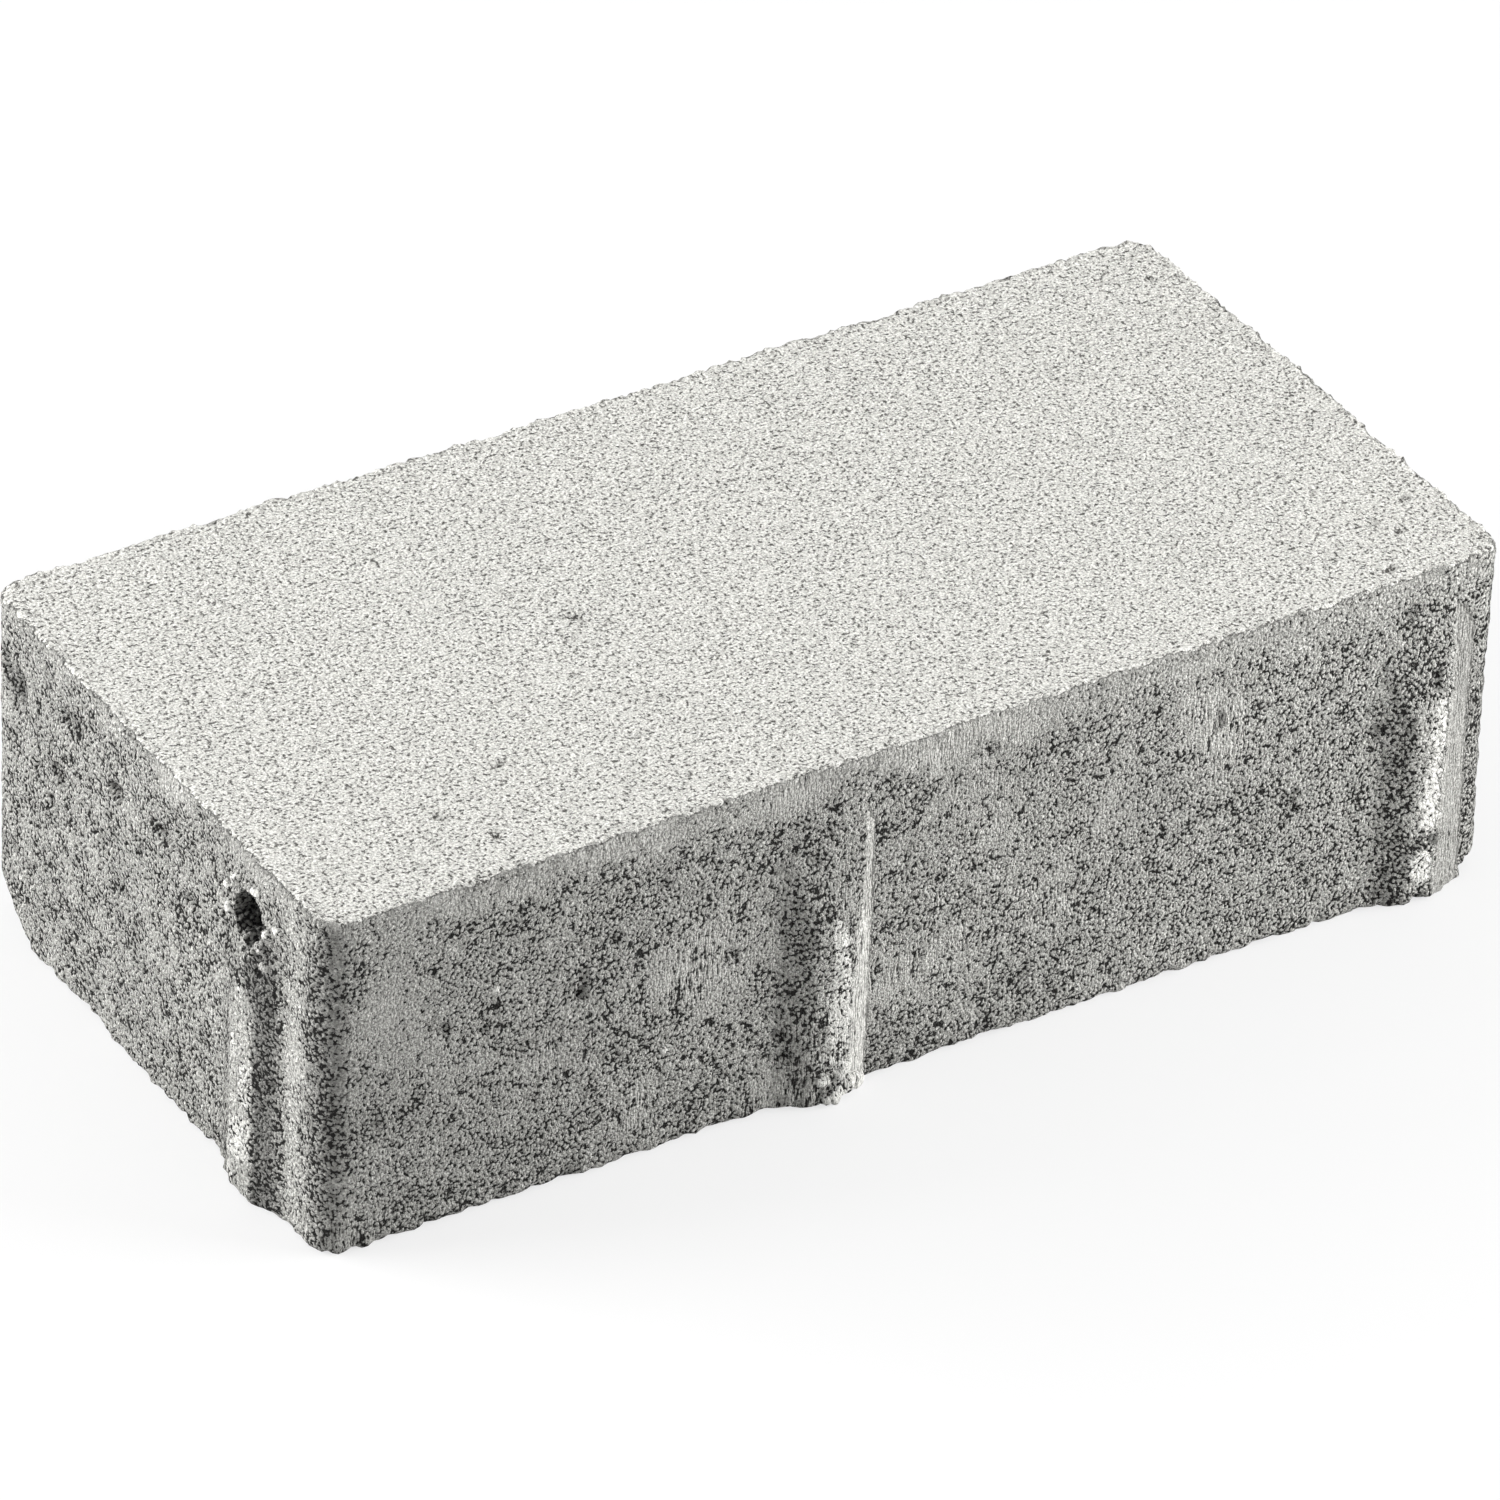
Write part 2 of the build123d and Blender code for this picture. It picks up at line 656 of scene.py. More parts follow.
    def cap(self, bm: BMesh, level: float, pitch: float) -> None:
        """Closes the sides at the top or at the foot by a meshed sheet.

        The sheet is made on its own, because a cut takes as long as the whole mesh is large.

        Args:
            bm: The mesh.
            level: The height of the sheet.
            pitch: The step of its mesh.
        """
        sheet = bm.copy()
        away = [face for face in sheet.faces if abs(face.calc_center_median().z - level) > self.foot_arris]
        bmesh.ops.delete(sheet, geom=away, context="FACES")
        ring = list(sheet.faces)
        rim = [e for e in sheet.edges if e.is_boundary and abs(e.verts[0].co.z - level) < self.weld]
        face = bmesh.ops.holes_fill(sheet, edges=rim, sides=0)["faces"]
        bmesh.ops.delete(sheet, geom=ring, context="FACES")
        inset = bmesh.ops.inset_region(
            sheet, faces=face, thickness=self.rim_width, use_boundary=True, use_even_offset=True
        )
        edging = set(inset["faces"])
        for axis in (Axis.X, Axis.Y):
            inner = [f for f in sheet.faces if f not in edging]
            self.slice_along(sheet, axis, self.stations(-self.half[axis], self.half[axis], pitch), inner)
        carrier = finished_mesh("carrier", sheet)
        bm.from_mesh(carrier)
        bpy.data.meshes.remove(carrier)

    def inset(self, place: Vector) -> float:
        """How far a place lies inside the block's sides, seen from above.

        Args:
            place: The place, in metres.

        Returns:
            The distance, below 0 outside.
        """
        away_x = abs(place.x) - (self.half.x - self.corner_radius)
        away_y = abs(place.y) - (self.half.y - self.corner_radius)
        outside = math.hypot(max(away_x, 0.0), max(away_y, 0.0))
        return self.corner_radius - outside - min(max(away_x, away_y), 0.0)

    def break_corner(self, bm: BMesh) -> None:
        """Breaks the far left corner off the foot along a slanting plane.

        Args:
            bm: The mesh.
        """
        corner = Vector((-self.half.x, self.half.y, self.break_up_height))
        outward = Vector(
            (-1 / self.break_along_length, 1 / self.break_along_width, -1 / self.break_up_height)
        ).normalized()
        parts = list(bm.verts) + list(bm.edges) + list(bm.faces)
        bmesh.ops.bisect_plane(
            bm, geom=parts, dist=self.weld, plane_co=corner, plane_no=outward, clear_outer=True
        )
        broken = bmesh.ops.holes_fill(bm, edges=[e for e in bm.edges if e.is_boundary], sides=0)["faces"]
        for axis, low in ((Axis.X, -self.half.x), (Axis.Z, 0.0)):
            stations = self.stations(low, low + self.break_up_height, self.side_pitch)
            faces = [f for f in bm.faces if f.normal.dot(outward) > 0.99] if axis else broken
            self.slice_along(bm, axis, stations, faces)

    def stations(self, low: float, high: float, pitch: float) -> list[float]:
        """Divides a span into even steps.

        Args:
            low: Where it starts.
            high: Where it ends.
            pitch: The longest step.

        Returns:
            The stations between its ends.
        """
        steps = math.ceil((high - low) / pitch)
        return [low + (high - low) * step / steps for step in range(1, steps)]

    def slice_along(self, bm: BMesh, axis: Axis, stations: list[float], faces: list[Face]) -> None:
        """Cuts faces at a run of stations, from low to high.

        What lies below a cut is left out of the next one.

        Args:
            bm: The mesh.
            axis: The axis to cut along.
            stations: The places of the cuts, in rising order.
            faces: The faces to cut.
        """
        def reach(face: Face) -> tuple[float, float]:
            """The lowest and highest place of a face along the axis."""
            places = [vert.co[axis] for vert in face.verts]
            return min(places) + self.weld, max(places) - self.weld

        active = []
        for face in faces:
            low, high = reach(face)
            if bisect_left(stations, low) < bisect_left(stations, high):
                active.append((face, low, high))
        for station in stations:
            crossed = [face for face, low, high in active if low < station < high]
            if not crossed:
                continue
            active = [item for item in active if item[1] >= station]
            parts = dict.fromkeys(crossed)
            parts.update(dict.fromkeys(edge for face in crossed for edge in face.edges))
            parts.update(dict.fromkeys(vert for face in crossed for vert in face.verts))
            result = bmesh.ops.bisect_plane(
                bm, geom=list(parts), dist=self.weld, plane_co=axis.unit * station, plane_no=axis.unit
            )
            for face in (part for part in result["geom"] if isinstance(part, Face)):
                low, high = reach(face)
                if high > station:
                    active.append((face, low, high))

    def refine(self, bm: BMesh, places: list[tuple[Vector, float]]) -> None:
        """Halves the mesh round some places.

        Args:
            bm: The mesh.
            places: The places and how far round them, in millimetres.
        """
        tree = kdtree.KDTree(len(bm.verts))
        bm.verts.index_update()
        for vert in bm.verts:
            tree.insert(vert.co / MM, vert.index)
        tree.balance()
        near = [set() for _ in bm.verts]
        for number, (place, radius) in enumerate(places):
            for _, index, _ in tree.find_range(place, radius):
                near[index].add(number)
        edges = [e for e in bm.edges if near[e.verts[0].index] & near[e.verts[1].index]]
        bmesh.ops.subdivide_edges(bm, edges=edges, cuts=1, use_grid_fill=True)

    def raise_lugs(self, bm: BMesh) -> None:
        """Pushes the lugs out of the sides.

        Args:
            bm: The mesh.
        """
        for lug in self.lugs:
            side, run, sign = lug.side, lug.run, lug.sign
            wall = self.half[side] - self.foot_arris * 1.05
            for vert in bm.verts:
                if vert.co[side] * sign > wall:
                    vert.co[side] += sign * lug.rise(vert.co[run], vert.co.z)


@dataclass(frozen=True)
class Mark:
    """Something that this one stone shows at one place.

    Attributes:
        centre: Its place, in millimetres.
        reach: How far it reaches along each axis, in millimetres.
        hollow: Its depth in millimetres, below 0 for a lump.
        torn: How much more, or less, the skin is torn open there.
        rubbed: How much whitish dust lies on it.
        tone: How much paler it is; below 0 it is darker, which in the pits is painted shade.
        fine: Whether it is so small that the mesh has to be finer there.
    """

    centre: tuple[float, float, float]
    reach: tuple[float, float, float]
    hollow: float = 0.0
    torn: float = 0.0
    rubbed: float = 0.0
    tone: float = 0.0
    fine: bool = True


MARKS = (
    # White grains
    Mark((-74.7, -51, 39.7), (0.8, 0.8, 0.8), hollow=-0.3, torn=-1, rubbed=1),
    Mark((-45.1, -51, 18.2), (0.8, 0.8, 0.8), hollow=-0.3, torn=-1, rubbed=1),
    Mark((37.2, -51, 23.6), (0.6, 0.6, 0.6), hollow=-0.2, torn=-1, rubbed=1),
    Mark((-21.7, -53, 45.4), (0.6, 0.9, 0.6), hollow=-0.2, torn=-1, rubbed=1),
    # Small craters with a pale rim
    Mark((-83.2, -51, 35.4), (2.4, 1.5, 2.4), rubbed=0.5),
    Mark((-83.2, -51, 35.4), (1.3, 1.5, 1.3), hollow=0.6, torn=0.3, rubbed=-0.5),
    Mark((-76.4, -51, 32.9), (1.4, 1.5, 1.1), hollow=0.5, torn=0.3),
    # Scratches
    Mark((9.6, -51, 52.2), (3.5, 1.5, 1.0), hollow=0.2, torn=-0.3, rubbed=0.5),
    Mark((13.0, -51, 53.5), (0.5, 1.5, 1.8), torn=-0.3, rubbed=0.6),
    # Torn pits in the long side, some darkened by painted shade
    *(
        Mark((x, -51, z), (along, 2.0, up), hollow=hollow, torn=torn, tone=tone)
        for x, z, along, up, hollow, torn, tone in (
            (-60.0, 36.0, 1.2, 3.2, 0.4, 0.35, 0.0),
            (-34.0, 31.0, 2.0, 2.0, 0.4, 0.35, 0.0),
            (-70.0, 28.0, 2.2, 1.0, 0.4, 0.35, 0.0),
            (66.1, 25.8, 2.4, 2.8, 0.5, 0.55, -0.12),
            (51.8, 45.0, 1.5, 2.2, 0.5, 0.5, -0.1),
            (80.5, 33.5, 1.4, 1.8, 0.5, 0.5, -0.1),
            (57.0, 22.0, 1.6, 1.0, 0.4, 0.35, 0.0),
        )
    ),
    # Torn pits in the short side, darkened by painted shade
    *(
        Mark((-103.5, y, z), (3.0, across, up), hollow=hollow, torn=torn, tone=tone, fine=fine)
        for y, z, across, up, hollow, torn, tone, fine in (
            (43.0, 47.0, 4.6, 5.0, 0.6, 0.6, -0.3, False),
            (41.5, 46.4, 2.6, 3.4, 0.8, 0.6, -0.2, False),
            (46.0, 50.5, 2.0, 2.0, 0.7, 1.0, -0.3, True),
            (25.4, 50.8, 3.4, 2.2, 0.9, 1.0, -0.3, False),
            (29.0, 38.6, 2.2, 2.6, 0.8, 1.0, -0.3, True),
            (31.5, 32.4, 1.8, 1.8, 0.6, 0.8, -0.25, True),
            (11.4, 46.8, 2.4, 2.4, 0.9, 1.0, -0.3, True),
            (4.6, 41.0, 1.7, 2.0, 0.6, 0.8, -0.25, True),
            (-3.0, 47.7, 3.6, 1.8, 0.8, 1.0, -0.3, False),
            (-11.0, 40.5, 2.4, 1.6, 0.7, 0.8, -0.25, True),
        )
    ),
    # Another torn pit in the short side, darkened by painted shade
    Mark((-103.5, -22.6, 42.5), (4.0, 2.4, 2.6), hollow=0.9, torn=1.0, tone=-0.3),
    # Grains of sand round the blowhole
    *(
        Mark((-103.5, y, z), (4.0, across, up), hollow=hollow, torn=-0.8, rubbed=rubbed, tone=tone)
        for y, z, across, up, hollow, rubbed, tone in (
            (-34.0, 47.2, 1.3, 1.3, -0.9, 1.3, 0.2),
            (-32.4, 44.9, 1.2, 1.1, -0.9, 1.3, 0.2),
            (-35.6, 49.8, 1.1, 1.2, -0.8, 1.2, 0.2),
            (-37.6, 51.8, 1.2, 1.0, -0.7, 1.2, 0.15),
            (-35.4, 44.4, 1.0, 1.0, -0.7, 1.2, 0.15),
            (-24.2, 48.0, 1.1, 1.5, -0.8, 1.2, 0.15),
            (-25.0, 53.8, 1.3, 0.9, -0.8, 1.2, 0.2),
            (-22.6, 51.0, 0.9, 1.0, -0.6, 1.2, 0.15),
            (-31.2, 55.0, 1.2, 0.8, -0.6, 1.2, 0.15),
        )
    ),
    Mark((-103.5, -33.9, 42.6), (4.0, 1.4, 1.0), hollow=0.5, torn=0.6),
    # Rubbed strip down the lug on the short side
    Mark((-106.0, -29.0, 20.0), (4.0, 2.4, 28.0), torn=-0.1, rubbed=0.25, tone=-0.04, fine=False),
    # Pits in the top
    *(
        Mark((x, y, 60), (along, across, 1.0), hollow=hollow, torn=torn)
        for x, y, along, across, hollow, torn in (
            (97.4, -32.0, 1.6, 0.6, 0.6, 0.8),
            (89.7, -35.4, 1.2, 0.7, 0.5, 0.8),
            (92.3, -39.0, 1.4, 0.6, 0.5, 0.8),
            (84.4, -47.1, 1.5, 0.7, 0.5, 0.8),
            (92.3, 44.7, 0.9, 0.9, 0.6, 0.8),
            (97.9, 39.9, 0.8, 1.0, 0.5, 0.8),
            (-60.5, -26.2, 1.2, 1.0, 0.7, 0.9),
            (-69.6, -41.7, 1.2, 1.1, 0.7, 0.9),
            (-74.8, -33.8, 1.3, 0.9, 0.7, 0.9),
            (-30.6, 1.5, 1.4, 1.0, 0.5, 0.9),
        )
    ),
    # Rough skin beside the near corner, on the short side
    Mark((-102.6, -48.4, 30.0), (3.0, 3.4, 44.0), torn=0.35, tone=-0.16, fine=False),
    # Smooth band between that and the lug on the short side
    Mark((-103.5, -42.0, 32.0), (3.0, 2.6, 44.0), torn=-0.35, tone=0.1, fine=False),
    # Smooth skin at the left end of the long side
    Mark((-91.0, -51, 42.0), (8.0, 4.0, 15.0), torn=-0.35, fine=False),
    # Crushed dust and lumps at the foot of the middle lug
    Mark((-17.0, -53.5, 1.6), (2.2, 3.0, 2.0), hollow=-1.0, torn=-0.35, rubbed=1.0, tone=0.12),
    Mark((-13.6, -53.5, 2.0), (1.8, 3.0, 1.8), hollow=-0.9, torn=-0.35, rubbed=1.0, tone=0.12),
    Mark((-11.0, -52.5, 1.2), (1.4, 3.0, 1.6), hollow=-0.8, torn=-0.35, rubbed=1.0, tone=0.12),
    Mark((-15.0, -53.5, 5.2), (1.7, 3.0, 1.4), hollow=-0.6, torn=-0.35, rubbed=1.0, tone=0.08),
    Mark((-18.6, -53.5, 4.8), (1.4, 3.0, 1.3), hollow=-0.6, torn=-0.35, rubbed=0.9, tone=0.08),
    Mark((-15.8, -53.5, 17.5), (2.4, 3.0, 14.0), torn=-0.42, rubbed=0.95, tone=0.06, fine=False),
    Mark((-16.2, -53.5, 31.0), (1.9, 3.0, 4.0), torn=-0.25, rubbed=0.7, tone=0.06, fine=False),
    # Rubbed patches on the lug at the right-hand end, with a crevice between them
    Mark((90.9, -53.5, 19.2), (2.3, 3.0, 8.6), hollow=-0.2, torn=-0.8, rubbed=1.0, fine=False),
    Mark((89.8, -53.5, 6.8), (2.8, 3.0, 4.8), hollow=-0.2, torn=-0.6, rubbed=1.0),
    Mark((89.6, -53.5, 11.3), (4.0, 3.0, 1.1), hollow=1.0, torn=0.8, rubbed=-1.0),
    Mark((92.0, -53.5, 31.0), (2.2, 3.0, 8.0), torn=-0.45, rubbed=0.8, fine=False),
    # Rough skin beside the right-hand front corner
    Mark((100.0, -51, 20.0), (2.8, 3.0, 22.0), torn=0.35, tone=-0.1, fine=False),
    Mark((99.0, -49.5, 48.0), (18.0, 6.0, 26.0), torn=0.02, tone=-0.08, fine=False),
    Mark((103.0, -46.0, 30.0), (5.0, 6.0, 50.0), torn=0.2, tone=-0.1, fine=False),
    Mark((91.0, -53.0, 40.5), (1.0, 3.0, 2.4), hollow=0.7, torn=0.3),
    # Chip off the foot at the right-hand front corner
    Mark((101.8, -49.0, 0.5), (4.5, 4.5, 4.5), hollow=1.2, torn=0.5),
)


@dataclass(frozen=True)
class Blowhole:
    """A bubble of air left open at the head of the lug on the left-hand end, sizes in millimetres."""

    centre: tuple[float, float, float] = (-102.3, -29.8, 49.6)
    radius: float = 4.0
    unevenness: float = 0.7
    wall_unevenness: float = 0.5
    bump: float = 1.7
    rim_reach: float = 9.0
    inward_reach: float = 3.0
    torn: float = 0.9
    deep_painted_shade: float = 0.05
    rim_painted_shade: float = 0.5

    def press(self, bm: BMesh, masks: dict[str, bmesh.types.BMLayerItem]) -> None:
        """Pushes the skin inside the bubble back onto its wall and paints its shade in, darkest deep
        inside.

        Args:
            bm: The mesh.
            masks: The vertex layers of the masks.
        """
        centre = Vector(self.centre)
        for vert in bm.verts:
            away = vert.co / MM - centre
            if away.x > self.inward_reach or away.length > 2 * self.radius:
                continue
            around = math.hypot(away.y, away.z)
            bumps = noise.noise(Vector((away.y, away.z, 0)) / self.bump)
            radius = self.radius + self.unevenness * bumps
            if around < radius:
                depth = math.sqrt(radius * radius - around * around)
                vert.co.x = (centre.x + depth + self.wall_unevenness * bumps) * MM
                vert[masks["torn"]] = self.torn
                vert[masks["rubbed"]] = 0.0
                # Painted shade inside the hole, darkest in its depth and lighter towards its rim.
                vert[masks["tone"]] = self.deep_painted_shade + (self.rim_painted_shade - self.deep_painted_shade) * around / radius


@dataclass
class CastSkin:
    """The relief of the cast surface that is coarse enough for the mesh, and the masks for its finish.

    All sizes here are in millimetres. Those of ripples, patches and crumbs are how far apart they are.
    """

    body: StoneBody
    blowhole: Blowhole = field(default_factory=Blowhole)
    fine_zone: float = 3.2
    fine_ripple: float = 1.7
    medium_ripple: float = 4.1
    broad_ripple: float = 26.0
    long_ripple: float = 9.0
    patch: float = 10.0
    small_patch: float = 3.4
    drag_patch: float = 15.0
    tone_patch: float = 18.0
    mark_edge: float = 1.3
    crumb: float = 2.9
    small_crumb: float = 1.4
    smallest_crumb: float = 1.15
    pit_spacing: float = 3.6
    pit_radius: float = 1.3
    pit_steepness: float = 1.1
    arris_reach: float = 2.4
    foot_reach: float = 4.0
    smear_start: float = 6.6
    smear_spread: float = 2.2
    lug_reach: float = 10.0
    lug_start: float = 0.05
    seed: Vector = field(default_factory=lambda: Vector((13.7, 5.1, 29.3)))

    def uneven(self, place: Vector, size: float, layer: float = 1.0) -> float:
        """A smooth random swing between about -1 and 1, which is another one for each layer."""
        return noise.noise(place / size + layer * self.seed)

    def fine_places(self) -> list[list[tuple[Vector, float]]]:
        """Lists where small marks need a finer mesh.

        Returns:
            Two rounds of places and radii.
        """
        small = [(Vector(mark.centre), max(mark.reach) + 1.0) for mark in MARKS if mark.fine]
        hole = Vector(self.blowhole.centre)
        return [small + [(hole, self.blowhole.rim_reach)], [(hole, self.blowhole.radius + 2.0)]]

    def apply(self, bm: BMesh) -> None:
        """Writes the masks and moves every vertex in or out by the relief.

        Args:
            bm: The mesh, which is changed.
        """
        masks = {name: bm.verts.layers.float.new(name) for name in MASKS}
        bm.normal_update()
        bm.verts.ensure_lookup_table()
        hollows = self.marks(bm)
        moves = []
        for vert, (hollow, torn_by, rubbed_by, tone_by) in zip(bm.verts, hollows):
            place, normal = vert.co / MM, vert.normal.copy()
            top = self.top(place, normal)
            torn, drag, rubbed, tone = self.side_masks(place, normal)
            torn = min(max((torn + torn_by) * (1 - top) + torn_by * top, 0.0), 1.0)
            rubbed = min(max(rubbed + rubbed_by, 0.0), 1.0) * (1 - top)
            tone = (tone + tone_by) * (1 - top) + top
            for name, value in zip(MASKS, (top, torn, drag, rubbed, tone)):
                vert[masks[name]] = value
            out = self.relief(place, normal, top, torn, drag, rubbed) - hollow
            moves.append(normal * out * MM)
        for vert, move in zip(bm.verts, moves):
            vert.co += move
            vert.co.z = max(vert.co.z, 0.0)
        self.blowhole.press(bm, masks)

    def marks(self, bm: BMesh) -> list[list[float]]:
        """Adds up what the marks do to every vertex.

        Args:
            bm: The mesh.

        Returns:
            For each vertex the hollow and the changes to torn, rubbed and tone.
        """
        sums = [[0.0] * 4 for _ in bm.verts]
        tree = kdtree.KDTree(len(bm.verts))
        for vert in bm.verts:
            tree.insert(vert.co / MM, vert.index)
        tree.balance()
        for mark in MARKS:
            for place, index, _ in tree.find_range(mark.centre, max(mark.reach)):
                away = [(p - c) / r for p, c, r in zip(place, mark.centre, mark.reach)]
                edge = Vector(away).length + 0.6 * self.uneven(place, self.mark_edge)
                share = smooth_step(1.0, 0.5, edge)
                for entry, amount in enumerate((mark.hollow, mark.torn, mark.rubbed, mark.tone)):
                    sums[index][entry] += amount * share
        return sums

    def crumbs(self, place: Vector) -> float:
        """How far crumbs have broken out of an arris."""
        small = max(0.0, self.uneven(place, self.small_crumb, 0.0))
        return max(0.0, self.uneven(place, self.crumb)) + 0.5 * small

    def top(self, place: Vector, normal: Vector) -> float:
        """Where the fine skin of the top is, down to the crumbled arris.

        Args:
            place: The place.
            normal: The outward normal.

        Returns:
            A number from 0 to 1.
        """
        if normal.z < 0.3:
            return 0.0
        inset = self.body.inset(place * MM) / MM
        return smooth_step(0.35, 0.75, normal.z) * smooth_step(0.0, 0.6, inset + 0.2 - self.crumbs(place))

    def side_masks(self, place: Vector, normal: Vector) -> tuple[float, float, float, float]:
        """Works out what the skin of the sides is like.

        Args:
            place: The place.
            normal: The outward normal.

        Returns:
            How torn open it is, how far it is dragged upright, how rubbed, and its tone, which holds
            painted shade on one lug flank.
        """
        below = self.body.height / MM - place.z
        patches = self.uneven(place, self.patch)
        small_patches = self.uneven(place, self.small_patch, -1.0)
        end = smooth_step(0.5, 0.9, abs(normal.x))
        coarse = smooth_step(0.0, 1.0, (below - self.fine_zone * (1 - end) - 4 * patches) / 4)
        torn_patches = 0.35 - 0.03 * end + 0.18 * patches + (0.34 + 0.24 * end) * small_patches
        torn = 0.31 + 0.02 * end + torn_patches * coarse
        torn += 0.12 * (1 - end) * smooth_step(16.0, 3.0, place.z)
        drag = 0.6 + 0.9 * self.uneven(place, self.drag_patch, -1.0) - 0.5 * coarse - 0.4 * end
        drag = min(max(drag - 0.8 * smooth_step(66.0, 82.0, place.x), 0.0), 1.0)
        rubbed = 0.0
        tone = 1.03 - 0.22 * drag + 0.0014 * place.x * (1 - end)
        tone += (0.08 if below > 1 else 0.03) * self.uneven(place, self.tone_patch, 2.0)
        if max(abs(place.x) - self.body.half.x / MM, abs(place.y) - self.body.half.y / MM) > self.lug_start:
            for lug in self.body.lugs:
                out = place[lug.side] * lug.sign - self.body.half[lug.side] / MM
                along = (place[lug.run] - lug.middle / MM) * lug.rightward
                if out < self.lug_start or abs(along) > self.lug_reach:
                    continue
                face = smooth_step(1.9, 2.45, out)
                if lug.wear is Wear.CRUMBLED:
                    torn += 0.2 * face
                    rubbed += 0.45 * smooth_step(0.2, 1.2, along) * smooth_step(35, 28, place.z)
                elif lug.wear is Wear.RUBBED:
                    rubbed += 0.75 * face * smooth_step(-0.25, 0.15, patches + 0.5 * small_patches)
                    torn -= 0.3 * face
                if along > 0 and lug.side is Axis.Y:
                    # The steel smeared the skin smooth along the lug's right-hand edge
                    start = self.smear_start - self.smear_spread * smooth_step(52.0, 8.0, place.z)
                    if lug.wear is Wear.MARKED:
                        start -= self.smear_spread
                    smeared = smooth_step(-0.6, 0.6, along - start)
                    torn -= 0.5 * smeared
                    drag += 0.8 * smeared
                    tone -= (0.5 if lug.wear is Wear.MARKED else 0.1) * smeared
                else:
                    rough_shaded_flank = smooth_step(0.0, 1.2, out) * (1 - face)
                    torn += 0.3 * rough_shaded_flank
                    # The near flank of the lug on the short side is darkened here: painted shade.
                    if lug.side is Axis.X and along > 0:
                        torn += 0.15 * rough_shaded_flank
                        tone -= 0.46 * rough_shaded_flank
        return torn, min(max(drag, 0.0), 1.0), rubbed, tone

    def relief(
        self, place: Vector, normal: Vector, top: float, torn: float, drag: float, rubbed: float
    ) -> float:
        """How far a point of the skin lies outside the smooth body.

        Args:
            place: The place.
            normal: The outward normal.
            top: The mask of the top.
            torn: How torn open the skin is.
            drag: How far it is dragged upright.
            rubbed: How rubbed it is.

        Returns:
            The distance in millimetres, below 0 for a hollow.
        """
        fine = self.uneven(place, self.fine_ripple)
        medium = self.uneven(place, self.medium_ripple)
        broad = self.uneven(place, self.broad_ripple)
        if top > 0.5:
            height = 0.05 * fine + 0.04 * medium + 0.05 * broad
        else:
            open_skin = torn * (1 - 0.6 * rubbed)
            height = (0.06 + 0.22 * open_skin) * fine + (0.04 + 0.16 * open_skin) * medium + 0.45 * broad
            upright = (place.x / self.fine_ripple, place.y / self.fine_ripple, place.z / self.long_ripple)
            height += 0.12 * drag * noise.noise(Vector(upright))
            height -= max(0.0, open_skin - 0.3) * self.pit(place)
        below = self.body.height / MM - place.z
        inset = max(self.body.inset(place * MM) / MM, 0.0)
        arris = smooth_step(self.arris_reach, 0.3, math.hypot(inset, below))
        height += arris * (0.2 - 0.45 * self.crumbs(place) + 0.5 * self.uneven(place, self.patch, 0.0))
        height += 0.6 * arris * self.uneven(place, self.smallest_crumb, 0.0)
        foot = smooth_step(self.foot_reach, 0.5, place.z) if normal.z > -0.9 else 0.0
        height += foot * (0.22 * medium + 0.42 * fine - 0.05)
        return height

    def pit(self, place: Vector) -> float:
        """The depth of the pits in the torn sides.

        Args:
            place: The place in millimetres.

        Returns:
            The depth in millimetres.
        """
        distances, points = noise.voronoi(place / self.pit_spacing)
        pick = noise.cell(points[0] * 7.3 + self.seed)
        radius = self.pit_radius * max(0.0, pick)
        away = distances[0] * self.pit_spacing
        return self.pit_steepness * math.sqrt(max(0.0, radius * radius - away * away))


@dataclass
class PavingStone:
    """The finished stone."""

    body: StoneBody = field(default_factory=StoneBody)
    finish: DryCastConcrete = field(default_factory=DryCastConcrete)

    def build(self) -> bpy.types.Object:
        """Models, roughens and dresses the stone and puts it in the place of its CAD node.

        Returns:
            The object.
        """
        self.body.read_frame()
        skin = CastSkin(self.body)
        bm = self.body.build(skin.fine_places())
        log.info("body: %d faces", len(bm.faces))
        skin.apply(bm)
        mesh = finished_mesh("cast_stone", bm)
        for polygon in mesh.polygons:
            polygon.use_smooth = True
        mesh.materials.append(self.finish.material())
        stone = placed("cast_stone", mesh)
        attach(stone, BODY)
        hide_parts(NODE)
        return stone


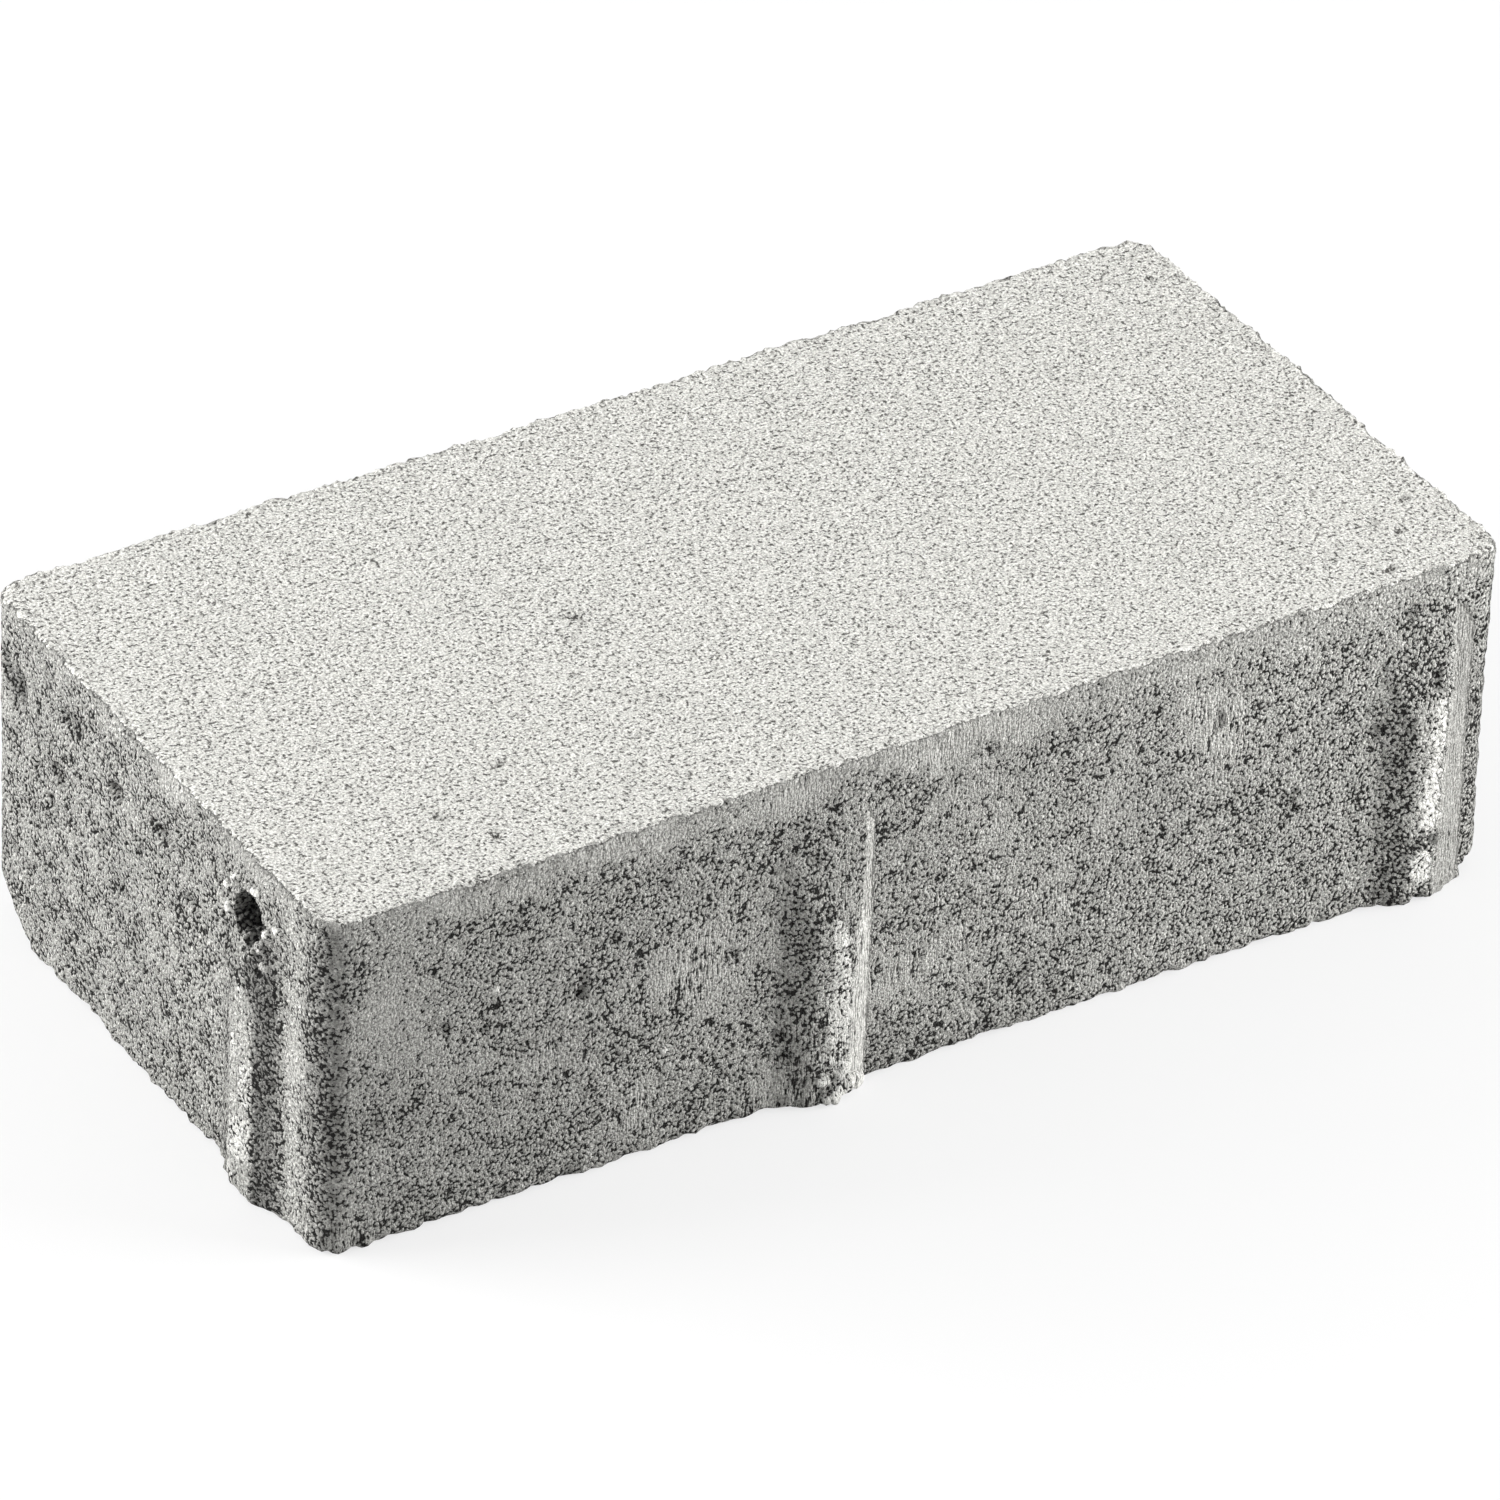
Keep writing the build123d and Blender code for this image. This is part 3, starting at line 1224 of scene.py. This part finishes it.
@dataclass
class Studio:
    """The floor, the lamps, the white surroundings and the camera.

    Angles are in degrees, lengths in metres and powers in watts. The camera was fitted to the eight
    corners of the stone that the photograph shows.
    """

    azimuth: float = -32.700
    elevation: float = 34.610
    distance: float = 1.7442
    roll: float = -2.105
    focal_px: float = 11415.6
    aim: tuple[float, float, float] = (0.0, 0.0, 0.030)
    aim_right: float = 0.000465
    aim_down: float = 0.002981
    clip_end: float = 20.0
    floor_half_side: float = 6.0
    floor_paint: str = "#E0E0E0"
    floor_glow: float = 0.7
    sky_strength: float = 0.2
    overhead_height: float = 1.3
    overhead_side: float = 1.4
    overhead_power: float = 7.5
    flank_distance: float = 0.96
    flank_height: float = 0.27
    flank_side: float = 0.7
    left_power: float = 21.5
    right_power: float = 18.5

    def build(self) -> None:
        """Sets everything up."""
        self.floor()
        self.surroundings()
        self.lamps()
        self.camera()

    def axes(self) -> tuple[Vector, Vector, Vector]:
        """The camera's own axes, before its roll.

        Returns:
            Back towards the eye, right and down, in the frame.
        """
        turn, rise = math.radians(self.azimuth), math.radians(self.elevation)
        back = Vector((math.sin(turn) * math.cos(rise), -math.cos(turn) * math.cos(rise), math.sin(rise)))
        right = (-back).cross(Vector((0, 0, 1))).normalized()
        return back, right, (-back).cross(right)

    def floor(self) -> None:
        """A large pale floor that keeps the stone's shadow and shows white to the camera."""
        bm = bmesh.new()
        bmesh.ops.create_grid(bm, x_segments=1, y_segments=1, size=self.floor_half_side)
        mesh = finished_mesh("floor", bm)
        made = bpy.data.materials.new("painted_floor")
        tree = empty_tree(made)
        paint = add_node(tree, "BsdfDiffuse", {"Color": linear(self.floor_paint)})
        glow = add_node(tree, "Emission", {"Color": WHITE, "Strength": 1.0})
        glowing = {"operation": "MULTIPLY", 1: self.floor_glow}
        share = add_node(tree, "Math", glowing, {0: self.seen_share(tree)})
        seen = add_node(tree, "MixShader", links={0: share, 1: paint, 2: glow})
        add_node(tree, "OutputMaterial", links={"Surface": seen})
        mesh.materials.append(made)
        placed("floor", mesh)

    def seen_share(self, tree: Tree) -> Source:
        """Marks what the eye sees, straight or in a gloss or through glass.

        Args:
            tree: The node tree.

        Returns:
            1 for such a ray, otherwise 0.
        """
        rays = add_node(tree, "LightPath")
        share = rays.outputs["Is Camera Ray"]
        for kind in ("Is Glossy Ray", "Is Transmission Ray"):
            share = add_node(tree, "Math", {"operation": "MAXIMUM"}, {0: share, 1: rays.outputs[kind]})
        return share

    def surroundings(self) -> None:
        """White surroundings for the eye, with a low even light from them on the stone."""
        world = bpy.data.worlds.new("studio")
        tree = empty_tree(world)
        sky = add_node(tree, "Background", {"Color": WHITE, "Strength": self.sky_strength})
        white = add_node(tree, "Background", {"Color": WHITE, "Strength": 1.0})
        mix = add_node(tree, "MixShader", links={0: self.seen_share(tree), 1: sky, 2: white})
        add_node(tree, "OutputWorld", links={"Surface": mix})
        bpy.context.scene.world = world

    def lamps(self) -> None:
        """A large softbox overhead and one at each side of the camera."""
        _, right, _ = self.axes()
        overhead, lift = (Axis.Z.unit * height for height in (self.overhead_height, self.flank_height))
        aside = right * self.flank_distance
        self.softbox("overhead", overhead, self.overhead_side, self.overhead_power)
        self.softbox("left", lift - aside, self.flank_side, self.left_power)
        self.softbox("right", lift + aside, self.flank_side, self.right_power)

    def softbox(self, name: str, place: Vector, side: float, power: float) -> None:
        """Adds a square lamp that faces the stone.

        Args:
            name: The lamp's name.
            place: Where it stands.
            side: Its side in metres.
            power: Its power in watts.
        """
        data = bpy.data.lights.new(name, "AREA")
        data.shape = "SQUARE"
        data.size = side
        data.energy = power
        lamp = placed(name, data)
        lamp.location = place
        lamp.rotation_euler = (-place).to_track_quat("-Z", "Y").to_euler()

    def camera(self) -> None:
        """Stands the camera where the photograph was taken from."""
        back, right, down = self.axes()
        roll = math.radians(self.roll)
        right, down = (
            math.cos(roll) * right + math.sin(roll) * down,
            -math.sin(roll) * right + math.cos(roll) * down,
        )
        target = Vector(self.aim) + right * self.aim_right + down * self.aim_down
        data = bpy.data.cameras.new("camera")
        data.sensor_width = SENSOR_WIDTH_MM
        data.lens = self.focal_px / PHOTO_SIDE_PX * SENSOR_WIDTH_MM
        data.clip_end = self.clip_end
        camera = placed("camera", data)
        camera.rotation_euler = Matrix((right, -down, back)).transposed().to_euler()
        camera.location = target + back * self.distance
        bpy.context.scene.camera = camera


def main() -> None:
    """Builds the studio and the stone."""
    logging.basicConfig(level=logging.INFO, format="%(name)s: %(message)s")
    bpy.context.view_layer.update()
    bpy.context.scene.view_settings.view_transform = "Standard"
    Studio().build()
    log.info("studio is set")
    stone = PavingStone().build()
    log.info("%s: %d vertices", stone.name, len(stone.data.vertices))


if __name__ == "__main__":
    main()
